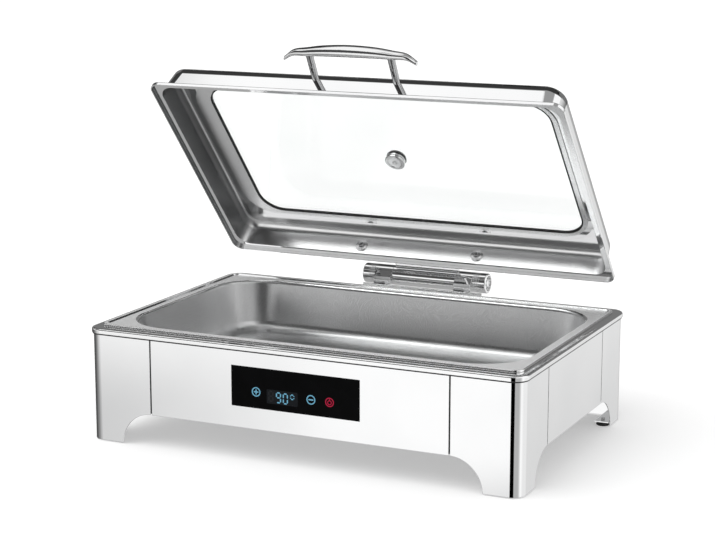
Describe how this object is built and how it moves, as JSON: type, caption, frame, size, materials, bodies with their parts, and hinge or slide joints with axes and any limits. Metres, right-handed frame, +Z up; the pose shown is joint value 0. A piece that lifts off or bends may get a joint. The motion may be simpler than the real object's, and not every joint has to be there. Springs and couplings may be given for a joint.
{
  "type": "electric chafing dish",
  "caption": "Heated countertop food warmer: rectangular steel stand on arched legs, water and food pans, touch display, hinged glass-window lid held open by a friction hinge.",
  "frame": {"origin": "middle of the box round the dish at rest, lid raised and hinge included, on the surface it stands on", "axes": "+Z up; +X to the right of someone facing the touch display; the display faces -Y and the hinge is at +Y"},
  "size_m": [0.557, 0.3984, 0.4746],
  "materials": {
    "polished_steel": "mirror-polished stainless steel",
    "satin_steel": "plain drawn stainless steel",
    "screw_steel": "bright stainless fasteners",
    "dark_steel": "blackened knurled steel",
    "aluminium_plate": "mill finish",
    "element_steel": "heat-tinted sheath",
    "clear_glass": "clear toughened glass",
    "black_glass": "gloss black printed glass",
    "black_rubber": "matt black rubber",
    "black_plastic": "moulded black plastic",
    "circuit_board": "green circuit board with black parts",
    "brass_pins": "nickel-washed brass"
  },
  "bodies": {
    "base": {"front_panel": "polished_steel", "rear_panel": "polished_steel", "left_panel": "polished_steel", "right_panel": "polished_steel", "leg_front_left": "polished_steel", "leg_front_right": "polished_steel", "leg_rear_left": "polished_steel", "leg_rear_right": "polished_steel", "seam_straps": "satin_steel", "rubber_feet": "black_rubber", "foot_screws": "screw_steel", "top_rim": "polished_steel", "water_pan": "satin_steel", "food_pan": "polished_steel", "heater_plate": "aluminium_plate", "heating_element": "element_steel", "heater_clamps": "satin_steel", "heater_studs": "screw_steel", "heater_spacers": "screw_steel", "heat_shield": "satin_steel", "shield_nuts": "screw_steel", "thermal_cutout": "black_plastic", "temperature_probe": "satin_steel", "bottom_cover": "satin_steel", "cover_screws": "screw_steel", "display_glass": "black_glass", "control_box": "black_plastic", "box_stud_nuts": "screw_steel", "control_board": "circuit_board", "board_screws": "screw_steel", "power_inlet": "black_plastic", "inlet_pins": "brass_pins", "inlet_screws": "screw_steel", "power_board": "circuit_board", "board_standoffs": "black_plastic", "hinge_bracket": "polished_steel", "bracket_screws": "screw_steel", "hinge_pin": "screw_steel", "hinge_collars": "dark_steel", "hinge_end_caps": "polished_steel"},
    "lid": {"lid_shell": "polished_steel", "lid_glass": "clear_glass", "glass_gasket": "black_rubber", "vent_cap": "polished_steel", "vent_nut": "polished_steel", "handle_bar": "polished_steel", "handle_posts": "polished_steel", "handle_screws": "screw_steel", "handle_washers": "screw_steel", "hinge_leaf": "polished_steel", "hinge_lid_screws": "screw_steel", "hinge_lid_washers": "screw_steel", "hinge_lid_nuts": "screw_steel"}
  },
  "joints": [
    {"name": "lid_hinge", "type": "hinge", "parent": "base", "child": "lid", "pos_m": [0, 0.18625, 0.1515], "axis": [-1, 0, 0], "range_deg": [-48.3, 41.7]}
  ]
}
